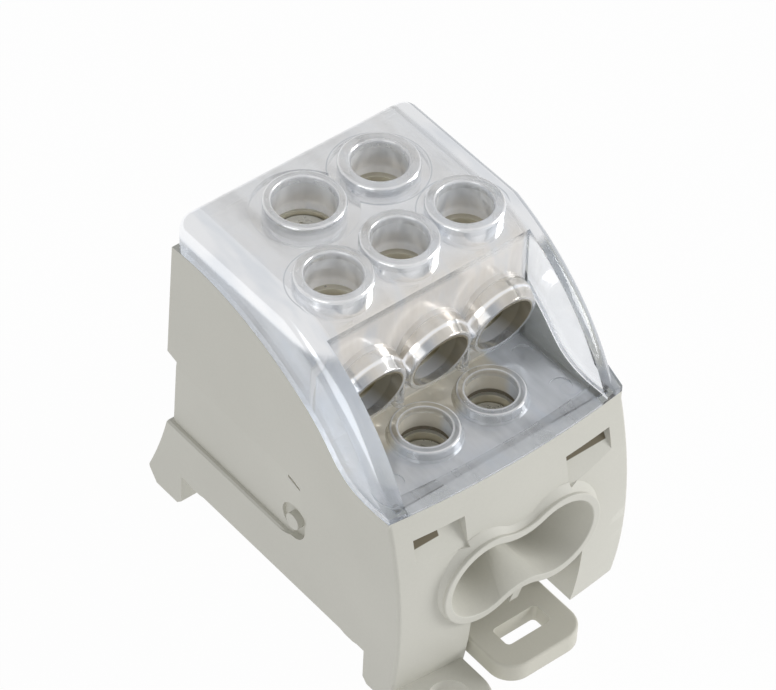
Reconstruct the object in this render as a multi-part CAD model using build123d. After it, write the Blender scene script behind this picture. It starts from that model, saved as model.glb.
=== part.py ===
from build123d import *
import math
import os

# Power distribution block for a 35 mm mounting rail, in millimetres.
# X runs across the block, +Y from the output side to the supply side, +Z away from the rail.
# The origin is on the mounting plane, on the centre line of the rail.

# Overall sizes
block_width = 36.0
side_wall = 1.6
overrun = 2.0
fit_gap = 0.1

# Mounting rail slot and the two small ridges that press on the rail
slot_half = 18.0
rail_seat_z = 5.35
slot_chamfer = 0.8
ridge_height = 0.2
ridge_width = 1.6
ridge_inset = 2.1

# Output side of the housing: its front bulges in side view and is bowed in plan.
# The reaches hold on the middle line.
bow_radius = 141.0
bow_half_angle = 15.0
front_top_reach = 22.55
front_bulge_reach = 25.25
front_bulge_z = 14.5
front_foot_reach = 23.9
front_corner_radius = 0.5

# Supply side of the housing
back_top_reach = 20.1
back_belly_reach = 20.9
back_belly_z = 25.3
back_waist_reach = 19.05
back_waist_top_z = 24.8
back_waist_low_reach = 20.45
back_ledge_reach = 20.95
back_ledge_z = 13.0
back_hollow_reach = 22.3
back_hollow_z = 8.2
back_heel_reach = 24.65
back_heel_z = 2.0
back_heel_rounding = 0.8
back_sole_reach = 23.0

# Seam between housing and cover: low at the output side, high at the supply side.
# Each point is a share of the seam's run from front to back and of its rise.
seam_front_z = 30.4
seam_back_z = 43.5
seam_shares = [(0.07, 0.0), (0.142, 0.0), (0.224, 0.076), (0.314, 0.328), (0.478, 0.672),
               (0.683, 0.924)]
seam_gap = 0.06

# Room inside the housing
room_floor_z = 8.0
room_front_reach = 16.6
room_sill_z = 21.6
front_top_wall = 2.0
front_low_wall = 2.8
back_wall = 1.9
back_low_wall = 1.65
support_rib = 1.6
support_rib_x = 10.5

# Feet, seen from the front: wide ones carry the fixing ears
wide_foot_inner_x = 7.3
narrow_foot_inner_x = 10.45
back_web = 2.0

# Fixing ears for screws, at two opposite corners
ear_thickness = 2.56
ear_width = 10.5
ear_hole_radius = 2.7
ear_edge = 0.35
ear_hole_y = 28.2

# Hollow on each side face above a ledge, with a small connecting pin in a well and a slit
hollow_depth = 0.7
ledge_edge = 0.25
hollow_top_z = 23.8
hollow_front_top_reach = 3.0
hollow_front_reach = 6.5
hollow_front_low_reach = 0.8
pin_radius = 1.15
pin_y = -3.8
pin_z = 16.0
pin_height = 1.0
pin_well_radius = 2.45
slit_length = 2.5
slit_height = 0.5
slit_y = -3.9
slit_z = 22.9
slit_depth = 0.5
slit_slant = 17.0

# Fixed hook that holds the far flange of the rail
hook_width = 13.0
hook_reach = 1.8
hook_low_z = 1.2
hook_top_z = 4.0

# Wire bores: radius, height of the axis and places across the block
lower_bore_radius = 4.0
lower_bore_z = 16.4
lower_bore_x = 5.1
upper_bore_radius = 3.1
upper_bore_z = 36.6
upper_pitch = 9.95
supply_bore_z = 33.5
large_bore_radius = 4.6
large_bore_x = -4.95
small_bore_radius = 3.1
small_bore_x = 6.4
lower_bore_depth = 11.2
upper_bore_depth = 8.8
supply_bore_depth = 11.6

# Wire entries: a double funnel with a raised lip on each side
entry_lobe_radius = 5.5
entry_lobe_x = 5.6
entry_waist_radius = 7.5
entry_deep_waist_radius = 1.6
entry_lip_proud = 0.35
entry_lip_land = 0.4
entry_lip_flank = 1.5
entry_lip_rounding = 0.15
entry_saddle_share = 0.62
funnel_wall = 1.1
supply_lip_proud = 1.0
supply_flare = 1.6
supply_waist_radius = 3.2
supply_deep_waist_radius = 1.8
entry_rib_thickness = 1.3
entry_rib_height = 3.9
entry_rib_setback = 0.1
entry_rib_slope = 1.1

# Conductor block
conductor_half_width = 15.0
conductor_low_z = 10.4
conductor_step_z = 27.4
conductor_top_z = 44.8
conductor_front_reach = 16.2
conductor_riser_reach = 4.9
conductor_leg_back_reach = 2.5
conductor_back_y = 17.0
conductor_edge = 0.4

# Clamp screws
medium_screw_radius = 2.95
large_screw_radius = 3.9
screw_clearance = 0.1
screw_back_off = 0.25
screw_edge = 0.45
medium_key = 3.0
large_key = 4.0
key_depth = 2.4
upper_screw_length = 4.0
lower_screw_length = 6.0
large_supply_screw_length = 6.2
small_supply_screw_length = 7.4
upper_screw_y = -0.3
lower_screw_y = -12.4
supply_screw_y = 11.4

# Clear cover
cover_top_z = 49.0
cover_wall = 2.0
cover_edge_radius = 2.2
cover_back_radius = 2.0
cover_flat_front_reach = 1.2
cover_shoulder_reach = 12.3
cover_shoulder_z = 42.9
cover_nose_reach = 20.9
cover_nose_z = 31.7
cover_back_wall = 2.1
fin_inner_x = 15.4
skirt_thickness = 0.9
skirt_drop = 3.5
riser_top_reach = 5.9
riser_low_reach = 6.5
riser_inner_reach = 5.1
deck_z = 30.1
deck_thickness = 1.4
deck_front_reach = 19.5
lip_z = 30.9

# Collars round the screw holes
collar_height = 1.5
rim_rounding_share = 0.36
small_collar_radius = 4.9
small_collar_hole = 3.5
large_collar_hole = 4.0
supply_collar_radius = 5.1
moat_depth = 0.5
large_moat_radius = 6.7
small_moat_radius = 6.1
deck_collar_base = 4.75
deck_collar_radius = 4.3
deck_collar_hole = 3.25
deck_collar_height = 1.4
sleeve_radius = 4.2
sleeve_gap = 0.3

# Hoods over the upper wire entries
hood_radius = 5.35
hood_rim_radius = 4.7
hood_mouth_radius = 4.0
hood_throat_radius = 3.75
hood_rim_reach = 8.7
hood_rim_z = 36.5
hood_tilt = 12.0
hood_nose = 1.7
hood_length = 3.4
peg_radius = 0.7
peg_reach = 7.9
peg_low_z = 31.0
peg_top_z = 35.4

# Round ejector marks on the deck
mark_radius = 1.45
mark_depth = 0.15
mark_x = 13.0
mark_front_y = -16.0
mark_back_y = -9.1

# Snap windows in the output side and the cover's tabs that hold in them
window_inner_x = 7.85
window_outer_x = 15.2
window_low_z = 22.9
window_top_z = 27.15
window_top_setback = 1.2
window_low_setback = 1.2
window_slot_height = 1.0
tab_thickness = 0.9
tab_inset = 0.4
tab_play = 0.3
tab_nose_height = 0.6
tab_nose_setback = 0.3

# Sliding rail latch
latch_half_width = 6.45
latch_thickness = 2.6
latch_top_z = 5.0
latch_nose_top_z = 4.15
latch_step_reach = 18.3
latch_front_reach = 31.25
latch_back_reach = 15.0
latch_corner_radius = 3.2
latch_slot_length = 6.9
latch_slot_width = 3.15
latch_slot_front_reach = 27.75
latch_slot_radius = 0.6
latch_edge = 0.35
latch_stop_reach = 16.2
latch_stop_drop = 0.95
latch_nose_land = 0.95
latch_stop_land = 0.4
guide_front_reach = 20.2
guide_back_reach = 18.75
guide_lip = 1.0
guide_lip_height = 1.0
guide_wall = 1.5
guide_roof = 1.6

half_width = block_width / 2
room_half_width = half_width - side_wall
room_front_top_reach = front_top_reach - front_top_wall
room_front_low_reach = front_bulge_reach - front_low_wall
room_back_reach = back_top_reach - back_wall
room_back_low_reach = back_waist_reach - back_low_wall
skirt_front_reach = room_front_top_reach - fit_gap
entry_lip_reach = front_bulge_reach + entry_lip_proud


def seam_points(lift):
    """Points of the seam line from before the output side to the supply side, lifted a little."""
    run = back_top_reach + front_top_reach
    rise = seam_back_z - seam_front_z
    points = [(-front_top_reach - overrun, seam_front_z + lift)]
    for run_share, rise_share in seam_shares:
        points.append((run_share * run - front_top_reach, seam_front_z + rise_share * rise + lift))
    points.append((back_top_reach, seam_back_z + lift))
    return points


def side_solid(edges, half):
    """Solid of a closed outline in the YZ plane, the same to both sides of the middle."""
    face = Plane.YZ * make_face(edges)
    return extrude(face, amount=half, both=True)


def bowed(edges):
    """Solid of a closed outline in the YZ plane, turned about the upright axis of the bow."""
    middle = (0, bow_radius - front_bulge_reach, 0)
    face = Plane.YZ * make_face(edges)
    spin = Pos(*middle) * Rot(Z=-bow_half_angle) * Pos(*[-step for step in middle])
    return revolve(spin * face, axis=Axis(middle, (0, 0, 1)), revolution_arc=2 * bow_half_angle)


def block(low, high):
    """Box between two opposite corners."""
    sizes = [b - a for a, b in zip(low, high)]
    middle = [(a + b) / 2 for a, b in zip(low, high)]
    return Pos(*middle) * Box(*sizes)


def upright(radius, x, y, low_z, high_z):
    """Vertical cylinder between two heights."""
    return Pos(x, y, (low_z + high_z) / 2) * Cylinder(radius, high_z - low_z)


def along_y(radius, x, z, low_y, high_y):
    """Cylinder whose axis runs from the output side to the supply side."""
    turned = Rot(X=90) * Cylinder(radius, high_y - low_y)
    return Pos(x, (low_y + high_y) / 2, z) * turned


def turned_half(shape):
    """The same shape at the opposite corner, half a turn about the vertical axis."""
    return Rot(Z=180) * shape


def other_side(shape):
    """The same shape on the opposite side face."""
    return mirror(shape, about=Plane.YZ)


def bulged_front():
    """Solid whose output side has the bulge and the bow; it reaches past the housing elsewhere."""
    foot = (-front_foot_reach, 0)
    top = (-front_top_reach, seam_front_z)
    front = ThreePointArc(foot, (-front_bulge_reach, front_bulge_z), top)
    rest = Polyline(
        top,
        (-front_top_reach, cover_top_z),
        (back_heel_reach + overrun, cover_top_z),
        (back_heel_reach + overrun, 0),
        foot,
    )
    return bowed([front, rest])


def housing_profile():
    """Side outline of the housing, still with a plain front."""
    front_y = -front_bulge_reach - overrun
    seam = Spline(*seam_points(0))
    front = Polyline(
        (-slot_half - slot_chamfer, 0),
        (front_y, 0),
        (front_y, seam_front_z),
        (-front_top_reach - overrun, seam_front_z),
    )
    back = Polyline(
        (back_top_reach, seam_back_z),
        (back_belly_reach, back_belly_z),
        (back_waist_reach, back_waist_top_z),
        (back_waist_low_reach, back_ledge_z + fit_gap),
        (back_ledge_reach, back_ledge_z),
    )
    heel = ThreePointArc(
        (back_ledge_reach, back_ledge_z),
        (back_hollow_reach, back_hollow_z),
        (back_heel_reach, back_heel_z),
    )
    sole = Polyline(
        (back_heel_reach, back_heel_z),
        (back_sole_reach, 0),
        (slot_half + slot_chamfer, 0),
        (slot_half, slot_chamfer),
        (slot_half, rail_seat_z),
        (-slot_half, rail_seat_z),
        (-slot_half, slot_chamfer),
        (-slot_half - slot_chamfer, 0),
    )
    return [front, seam, back, heel, sole]


def room():
    """Space inside the housing, open at the top."""
    top_z = cover_top_z
    outline = Polyline(
        (-room_front_reach, room_floor_z),
        (-room_front_reach, room_sill_z),
        (-room_front_low_reach, room_sill_z),
        (-room_front_top_reach, seam_front_z),
        (-room_front_top_reach, top_z),
        (room_back_reach, top_z),
        (room_back_reach, back_belly_z),
        (room_back_low_reach, back_waist_top_z),
        (room_back_low_reach, room_floor_z),
        close=True,
    )
    return side_solid(outline, room_half_width)


def side_hollow():
    """Wedge taken out of the left side face above its ledge."""
    low_z = back_ledge_z - ledge_edge
    wedge = Plane.XZ * make_face(Polyline(
        (-half_width, hollow_top_z),
        (-half_width + hollow_depth, back_ledge_z),
        (-half_width + ledge_edge, back_ledge_z),
        (-half_width, low_z),
        (-half_width - overrun, low_z),
        (-half_width - overrun, hollow_top_z),
        close=True,
    ))
    wedge = extrude(wedge, amount=back_heel_reach + overrun, both=True)
    middle_z = (hollow_top_z + back_ledge_z) / 2
    border = ThreePointArc(
        (-hollow_front_top_reach, hollow_top_z),
        (-hollow_front_reach, middle_z),
        (-hollow_front_low_reach, low_z),
    )
    rest = Polyline(
        (-hollow_front_low_reach, low_z),
        (back_heel_reach + overrun, low_z),
        (back_heel_reach + overrun, hollow_top_z),
        (-hollow_front_top_reach, hollow_top_z),
    )
    return wedge & side_solid([border, rest], half_width + overrun)


def pin_well():
    """Round well in the left side face, round the connecting pin."""
    well = Circle(pin_well_radius)
    face = Plane.YZ.offset(-half_width - overrun) * Pos(pin_y, pin_z) * well
    return extrude(face, amount=overrun + pin_height)


def side_pin():
    """Connecting pin that stands in its well, flush with the side face."""
    face = Plane.YZ.offset(-half_width) * Pos(pin_y, pin_z) * Circle(pin_radius)
    return extrude(face, amount=pin_height)


def side_slit():
    """Narrow slit at the upper front end of the hollow."""
    slit = SlotOverall(slit_length, slit_height)
    place = Pos(slit_y, slit_z) * Rot(Z=slit_slant)
    face = Plane.YZ.offset(-half_width - overrun) * place * slit
    return extrude(face, amount=overrun + slit_depth)


def fixing_ear():
    """Flat ear with a screw hole, at the front left corner."""
    ear_x = -half_width + ear_width / 2
    plate = block(
        (-half_width, -ear_hole_y, 0),
        (-half_width + ear_width, -slot_half - slot_chamfer, ear_thickness),
    )
    plate += upright(ear_width / 2, ear_x, -ear_hole_y, 0, ear_thickness)
    rim = plate.faces().sort_by(Axis.Z)[-1].edges()
    rim = [edge for edge in rim if edge.center().Y < -slot_half - slot_chamfer - fit_gap]
    return fillet(rim, ear_edge)


def ear_hole():
    """Screw hole of the front left ear."""
    ear_x = -half_width + ear_width / 2
    return upright(ear_hole_radius, ear_x, -ear_hole_y, -overrun, ear_thickness + overrun)


def double_outline(left, right, waist_radius, grow):
    """Two round lobes (x, radius) joined by two hollow arcs, grown by the given margin."""
    left_x, left_radius = left
    right_x, right_radius = right
    span = right_x - left_x
    left_arm = left_radius + waist_radius
    right_arm = right_radius + waist_radius
    along = (span ** 2 + left_arm ** 2 - right_arm ** 2) / (2 * span)
    up = math.sqrt(left_arm ** 2 - along ** 2)
    waist_half = up - waist_radius + grow
    left_share = (left_radius + grow) / left_arm
    right_share = (right_radius + grow) / right_arm
    corners = []
    for side in (1, -1):
        corners.append((
            (left_x + along * left_share, side * up * left_share),
            (left_x + along, side * waist_half),
            (right_x - (span - along) * right_share, side * up * right_share),
        ))
    top, low = corners
    return make_face([
        ThreePointArc(*top),
        ThreePointArc(top[2], (right_x + right_radius + grow, 0), low[2]),
        ThreePointArc(*reversed(low)),
        ThreePointArc(low[0], (left_x - left_radius - grow, 0), top[0]),
    ])


def funnel(start, end, start_radius, end_radius):
    """Round funnel between two points, square to the Y axis at both ends."""
    turn = Rot(X=90)
    first = Pos(*start) * turn * Circle(start_radius)
    second = Pos(*end) * turn * Circle(end_radius)
    return loft([first, second])


def between(first, second, share):
    """Pairs that lie at a share of the way from the first pairs to the second ones."""
    return [
        tuple(a + share * (b - a) for a, b in zip(one, other))
        for one, other in zip(first, second)
    ]


def output_places_low():
    """The two lobes of the lower entry and its two bores, each as (x, radius)."""
    lobes = [(-entry_lobe_x, entry_lobe_radius), (entry_lobe_x, entry_lobe_radius)]
    bores = [(-lower_bore_x, lower_bore_radius), (lower_bore_x, lower_bore_radius)]
    return lobes, bores


def supply_places():
    """The two lobes of the supply entry and its two bores, each as (x, radius)."""
    bores = [(large_bore_x, large_bore_radius), (small_bore_x, small_bore_radius)]
    lobes = [(x, radius + supply_flare) for x, radius in bores]
    return lobes, [(x, radius + fit_gap) for x, radius in bores]


def outline_at(y, z, pair, waist_radius, grow):
    """Double outline set upright at a depth."""
    return Pos(0, y, z) * Rot(X=90) * double_outline(*pair, waist_radius, grow)


def wire_entry(places, waists, z, lip_y, end_y, grow):
    """Double mouth that parts into two funnels over a saddle, or its shell when grown."""
    lobes, bores = places
    inward = 1 if end_y > lip_y else -1
    saddle_y = lip_y + entry_saddle_share * (end_y - lip_y)
    deep = between(lobes, bores, entry_saddle_share)
    mouth = outline_at(lip_y, z, lobes, waists[0], grow)
    saddle = outline_at(saddle_y, z, deep, waists[1], grow)
    shape = loft([mouth, saddle])
    over = 0 if grow else overrun
    for (x, radius), (bore_x, bore_radius) in zip(deep, bores):
        start = (x, saddle_y, z)
        end = (bore_x, end_y, z)
        shape += funnel(start, end, radius + grow, bore_radius + grow)
        if over:
            low_y, high_y = sorted((end_y, end_y + inward * over))
            shape += along_y(bore_radius, bore_x, z, low_y, high_y)
    if over:
        shape += extrude(mouth, amount=inward * over)
    return shape


def entry_lip(places, waist_radius, z, lip_y, inward):
    """Flared lip round a double mouth: a narrow land with a sloping flank."""
    lobes = places[0]
    land = outline_at(lip_y, z, lobes, waist_radius, entry_lip_land)
    foot_y = lip_y + inward * entry_lip_flank
    foot = outline_at(foot_y, z, lobes, waist_radius, entry_lip_land + entry_lip_flank)
    return loft([land, foot])


def entry_rib():
    """Small upright rib below the waist of the lower entry."""
    top_z = lower_bore_z - entry_lobe_radius / 2
    rim_z = lower_bore_z - entry_lobe_radius + funnel_wall
    low_z = rim_z - entry_rib_height
    front_y = -entry_lip_reach + entry_rib_setback
    outline = Polyline(
        (front_y, top_z),
        (front_y, rim_z),
        (front_y + entry_rib_slope, low_z),
        (-slot_half, low_z),
        (-slot_half, top_z),
        close=True,
    )
    return side_solid(outline, entry_rib_thickness / 2)


def rounded_lip(body, lip_y):
    """Round the lip edges that lie in the plane of a wire entry's mouth."""
    edges = [
        edge for edge in body.edges()
        if abs(edge.bounding_box().min.Y - lip_y) < fit_gap / 10
        and abs(edge.bounding_box().max.Y - lip_y) < fit_gap / 10
    ]
    return fillet(edges, entry_lip_rounding)


def snap_window(side):
    """Wedge-shaped window in the output side, with a slot along its top edge."""
    xs = sorted((side * window_inner_x, side * window_outer_x))
    reach = front_bulge_reach + overrun
    wedge = side_solid(Polyline(
        (-reach, window_low_z),
        (-front_bulge_reach + window_low_setback, window_low_z),
        (-front_top_reach + window_top_setback, window_top_z),
        (-reach, window_top_z),
        close=True,
    ), (xs[1] - xs[0]) / 2)
    pocket = Pos((xs[0] + xs[1]) / 2, 0, 0) * wedge
    slot_low_z = window_top_z - window_slot_height
    slot = block((xs[0], -reach, slot_low_z), (xs[1], -room_front_top_reach + overrun, window_top_z))
    return pocket + slot


def latch_guide():
    """Channel between the front feet in which the latch slides, open towards the rail."""
    low_z = latch_top_z - latch_thickness - fit_gap
    high_z = latch_top_z + fit_gap
    half = latch_half_width + fit_gap
    front_y = -guide_front_reach
    back_y = -guide_back_reach
    guide = block(
        (-wide_foot_inner_x, front_y, high_z),
        (narrow_foot_inner_x, back_y, high_z + guide_roof),
    )
    guide += block((half, front_y, low_z - guide_lip_height), (half + guide_wall, back_y, high_z))
    guide += block((-wide_foot_inner_x, front_y, low_z - guide_lip_height), (-half, back_y, high_z))
    for side in (-1, 1):
        xs = sorted((side * (half - guide_lip), side * half))
        guide += block((xs[0], front_y, low_z - guide_lip_height), (xs[1], back_y, low_z))
    return guide


def rail_hook():
    """Fixed hook under the far flange of the rail."""
    outline = Polyline(
        (slot_half, hook_low_z),
        (slot_half, hook_top_z),
        (slot_half - hook_reach, hook_top_z),
        (slot_half - hook_reach, (hook_low_z + hook_top_z) / 2),
        (slot_half - hook_reach / 2, hook_low_z),
        close=True,
    )
    return side_solid(outline, hook_width / 2)


def rail_ridges():
    """Small ridges under the rail seat that take up the play of the rail."""
    ridges = []
    for side in (-1, 1):
        middle = side * (slot_half - ridge_inset - ridge_width / 2)
        outline = Polyline(
            (middle - ridge_width, rail_seat_z),
            (middle - ridge_width / 2, rail_seat_z - ridge_height),
            (middle + ridge_width / 2, rail_seat_z - ridge_height),
            (middle + ridge_width, rail_seat_z),
            close=True,
        )
        ridges.append(side_solid(outline, half_width))
    return ridges


def edges_at(body, y, z):
    """Edges across the block that lie at the given reach and height."""
    return [
        edge for edge in body.edges().filter_by(Axis.X)
        if abs(edge.center().Y - y) < fit_gap / 10 and abs(edge.center().Z - z) < fit_gap / 10
    ]


def make_housing():
    """Moulded housing with feet, ears, wire entries and snap windows."""
    body = side_solid(housing_profile(), half_width) & bulged_front()
    front_face = body.faces().sort_by(Axis.Y)[0]
    corners = [edge for edge in front_face.edges() if abs(abs(edge.center().X) - half_width) < fit_gap]
    body = fillet(corners, front_corner_radius)
    body = fillet(edges_at(body, back_heel_reach, back_heel_z), back_heel_rounding)
    body -= room()
    # Gap between the front feet and gap between the back feet
    body -= block(
        (-wide_foot_inner_x, -front_bulge_reach - overrun, -overrun),
        (narrow_foot_inner_x, -slot_half, lower_bore_z),
    )
    body -= block(
        (-narrow_foot_inner_x, slot_half + back_web, -overrun),
        (wide_foot_inner_x, back_heel_reach + overrun, back_ledge_z),
    )
    for hollow in (side_hollow(), pin_well(), side_slit()):
        body -= hollow
        body -= other_side(hollow)
    body += side_pin()
    body += other_side(side_pin())
    ear = fixing_ear()
    body += ear
    body += turned_half(ear)
    body -= ear_hole()
    body -= turned_half(ear_hole())
    # Wire entries
    body += entry_rib()
    supply_lip_reach = back_belly_reach + supply_lip_proud
    entries = [
        (output_places_low(), (entry_waist_radius, entry_deep_waist_radius), lower_bore_z,
         -entry_lip_reach, -room_front_reach, 1),
        (supply_places(), (supply_waist_radius, supply_deep_waist_radius), supply_bore_z,
         supply_lip_reach, room_back_reach, -1),
    ]
    for places, waists, z, lip_y, end_y, inward in entries:
        body += entry_lip(places, waists[0], z, lip_y, inward)
        body += wire_entry(places, waists, z, lip_y, end_y, funnel_wall)
        body -= wire_entry(places, waists, z, lip_y, end_y, 0)
        body = rounded_lip(body, lip_y)
    for side in (-1, 1):
        body -= snap_window(side)
    body += latch_guide()
    body += rail_hook()
    for ridge in rail_ridges():
        body += ridge
    # Ribs that carry the conductor block
    for side in (-1, 1):
        middle = side * support_rib_x
        body += block(
            (middle - support_rib / 2, -conductor_leg_back_reach, rail_seat_z),
            (middle + support_rib / 2, back_waist_reach - side_wall, conductor_step_z),
        )
        body += block(
            (middle - support_rib / 2, -room_front_reach, rail_seat_z),
            (middle + support_rib / 2, -conductor_leg_back_reach, conductor_low_z),
        )
    return body


def conductor_profile():
    """Side outline of the stepped conductor block."""
    return Polyline(
        (-conductor_front_reach, conductor_low_z),
        (-conductor_front_reach, conductor_step_z),
        (-conductor_riser_reach, conductor_step_z),
        (-conductor_riser_reach, conductor_top_z),
        (conductor_back_y, conductor_top_z),
        (conductor_back_y, conductor_step_z),
        (-conductor_leg_back_reach, conductor_step_z),
        (-conductor_leg_back_reach, conductor_low_z),
        close=True,
    )


def output_places():
    """Places across the block of the three upper bores."""
    return [-upper_pitch, 0, upper_pitch]


def screw_table():
    """Name, x, y, radius, length, key size and rest height of the tip of every screw."""
    upper_tip = upper_bore_z + upper_bore_radius + screw_back_off
    lower_tip = lower_bore_z + lower_bore_radius + screw_back_off
    rows = []
    for name, x in zip(("left", "middle", "right"), output_places()):
        rows.append(("upper_screw_" + name, x, upper_screw_y, medium_screw_radius,
                     upper_screw_length, medium_key, upper_tip))
    for name, side in (("left", -1), ("right", 1)):
        rows.append(("lower_screw_" + name, side * lower_bore_x, lower_screw_y,
                     medium_screw_radius, lower_screw_length, medium_key, lower_tip))
    rows.append(("supply_screw_large", large_bore_x, supply_screw_y, large_screw_radius,
                 large_supply_screw_length, large_key,
                 supply_bore_z + large_bore_radius + screw_back_off))
    rows.append(("supply_screw_small", small_bore_x, supply_screw_y, medium_screw_radius,
                 small_supply_screw_length, medium_key,
                 supply_bore_z + small_bore_radius + screw_back_off))
    return rows


def outer_edges(body):
    """Long edges of the conductor block that stand outwards."""
    front_y = -conductor_front_reach + fit_gap
    back_y = conductor_back_y - fit_gap
    chosen = []
    for edge in body.edges().filter_by(Axis.X):
        place = edge.center()
        inside = front_y < place.Y < back_y and abs(place.Z - conductor_step_z) < fit_gap
        if not inside:
            chosen.append(edge)
    return chosen


def make_conductor():
    """Stepped conductor block with its wire bores and screw holes."""
    body = side_solid(conductor_profile(), conductor_half_width)
    body = chamfer(outer_edges(body), conductor_edge)
    for side in (-1, 1):
        body -= along_y(lower_bore_radius, side * lower_bore_x, lower_bore_z,
                        -conductor_front_reach - overrun, -conductor_front_reach + lower_bore_depth)
    for x in output_places():
        body -= along_y(upper_bore_radius, x, upper_bore_z,
                        -conductor_riser_reach - overrun, -conductor_riser_reach + upper_bore_depth)
    for x, radius in ((large_bore_x, large_bore_radius), (small_bore_x, small_bore_radius)):
        body -= along_y(radius, x, supply_bore_z,
                        conductor_back_y - supply_bore_depth, conductor_back_y + overrun)
    for name, x, y, radius, length, key, tip_z in screw_table():
        low_z = tip_z - screw_back_off - radius
        body -= upright(radius + screw_clearance, x, y, low_z, conductor_top_z + overrun)
    return body


def make_screw(x, y, radius, length, key, tip_z):
    """Clamp screw with a hexagon socket, backed out clear of its bore."""
    top_z = tip_z + length
    body = upright(radius, x, y, tip_z, top_z)
    body = chamfer(body.edges().filter_by(GeomType.CIRCLE), screw_edge)
    across_corners = key / math.cos(math.pi / 6)
    socket = Pos(x, y, top_z - key_depth) * RegularPolygon(across_corners / 2, 6)
    body -= extrude(socket, amount=key_depth + overrun)
    return body


def cover_profile():
    """Side outline of the cover above the seam."""
    seam = Spline(*seam_points(seam_gap))
    corner_y = back_top_reach - cover_back_radius
    corner_z = cover_top_z - cover_back_radius
    bend = cover_back_radius * math.sqrt(0.5)
    back = Line((back_top_reach, seam_back_z + seam_gap), (back_top_reach, corner_z))
    corner = ThreePointArc(
        (back_top_reach, corner_z),
        (corner_y + bend, corner_z + bend),
        (corner_y, cover_top_z),
    )
    top = Line((corner_y, cover_top_z), (-cover_flat_front_reach, cover_top_z))
    shoulder = ThreePointArc(
        (-cover_flat_front_reach, cover_top_z),
        (-cover_shoulder_reach, cover_shoulder_z),
        (-cover_nose_reach, cover_nose_z),
    )
    nose = Polyline(
        (-cover_nose_reach, cover_nose_z),
        (-front_top_reach, lip_z),
        (-front_top_reach - overrun, lip_z),
        (-front_top_reach - overrun, seam_front_z + seam_gap),
    )
    return [seam, back, corner, top, shoulder, nose]


def cover_skirt():
    """Inner skirt and deck plate that reach down inside the housing."""
    back_y = back_top_reach - cover_back_wall
    outline = Polyline(
        (-skirt_front_reach, deck_z - deck_thickness),
        (-skirt_front_reach, lip_z),
        (-deck_front_reach, seam_front_z + skirt_drop),
        (back_y, seam_back_z + skirt_drop),
        (back_y, seam_back_z - skirt_drop),
        (-riser_inner_reach, seam_front_z + skirt_drop),
        (-riser_inner_reach, deck_z - deck_thickness),
        close=True,
    )
    return side_solid(outline, fin_inner_x + skirt_thickness)


def step_recess():
    """Space in front of the riser, above the deck and the lip, between the fins."""
    outline = Polyline(
        (-riser_top_reach, cover_top_z),
        (-riser_low_reach, deck_z),
        (-skirt_front_reach, deck_z),
        (-skirt_front_reach, lip_z),
        (-front_bulge_reach, lip_z),
        (-front_bulge_reach, cover_top_z + overrun),
        (-riser_top_reach, cover_top_z + overrun),
        close=True,
    )
    above_lip = block(
        (-half_width, -front_bulge_reach - overrun, lip_z),
        (half_width, 0, cover_top_z + overrun + overrun),
    )
    behind_lip = bowed(Polyline(
        (-deck_front_reach, 0),
        (-deck_front_reach, cover_top_z),
        (0, cover_top_z),
        (0, 0),
        close=True,
    ))
    return side_solid(outline, fin_inner_x) & (above_lip + behind_lip)


def cover_room():
    """Space inside the cover, over the conductor block."""
    return block(
        (-fin_inner_x, -riser_inner_reach, 0),
        (fin_inner_x, back_top_reach - cover_back_wall, cover_top_z - cover_wall),
    )


def ring(outer, inner, x, y, low_z, high_z):
    """Upright collar with both edges of its upper rim rounded."""
    tube = upright(outer, x, y, low_z, high_z) - upright(inner, x, y, low_z - overrun, high_z + overrun)
    rims = tube.edges().filter_by(GeomType.CIRCLE).group_by(Axis.Z)[-1]
    return fillet(rims, rim_rounding_share * (outer - inner))


def top_collars():
    """Collars of the top: x, y, outer radius, hole radius and moat radius."""
    rows = [(x, upper_screw_y, small_collar_radius, small_collar_hole, 0) for x in output_places()]
    rows.append((large_bore_x, supply_screw_y, supply_collar_radius, large_collar_hole,
                 large_moat_radius))
    rows.append((small_bore_x, supply_screw_y, supply_collar_radius, small_collar_hole,
                 small_moat_radius))
    return rows


def hood_place():
    """Place of a hood rim: its axis leaves the riser a little downwards."""
    return Pos(0, -hood_rim_reach, hood_rim_z) * Rot(X=90 + hood_tilt)


def hood():
    """Tilted ring over an upper wire entry, narrower towards its rim, still solid."""
    nose = hood_place() * Pos(0, 0, -hood_nose / 2) * Cone(hood_radius, hood_rim_radius, hood_nose)
    rim = nose.edges().filter_by(GeomType.CIRCLE).sort_by(Axis.Y)[0]
    nose = fillet(rim, rim_rounding_share * (hood_rim_radius - hood_mouth_radius))
    root = hood_place() * Pos(0, 0, -hood_nose - hood_length / 2) * Cylinder(hood_radius, hood_length)
    return nose + root


def hood_bore():
    """Funnel through a hood and the riser, down to the wire bore."""
    mouth = hood_place() * Circle(hood_mouth_radius)
    throat = Pos(0, -riser_inner_reach + overrun, upper_bore_z) * Rot(X=90) * Circle(hood_throat_radius)
    bore = loft([mouth, throat])
    bore += hood_place() * Pos(0, 0, overrun / 2) * Cylinder(hood_mouth_radius, overrun)
    return bore


def riser_peg(side):
    """Small round-faced peg on the riser, between two hoods."""
    x = side * upper_pitch / 2
    peg = upright(peg_radius, x, -peg_reach + peg_radius, peg_low_z, peg_top_z)
    peg += block(
        (x - peg_radius, -peg_reach + peg_radius, peg_low_z),
        (x + peg_radius, -riser_inner_reach, peg_top_z),
    )
    return peg


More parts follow.
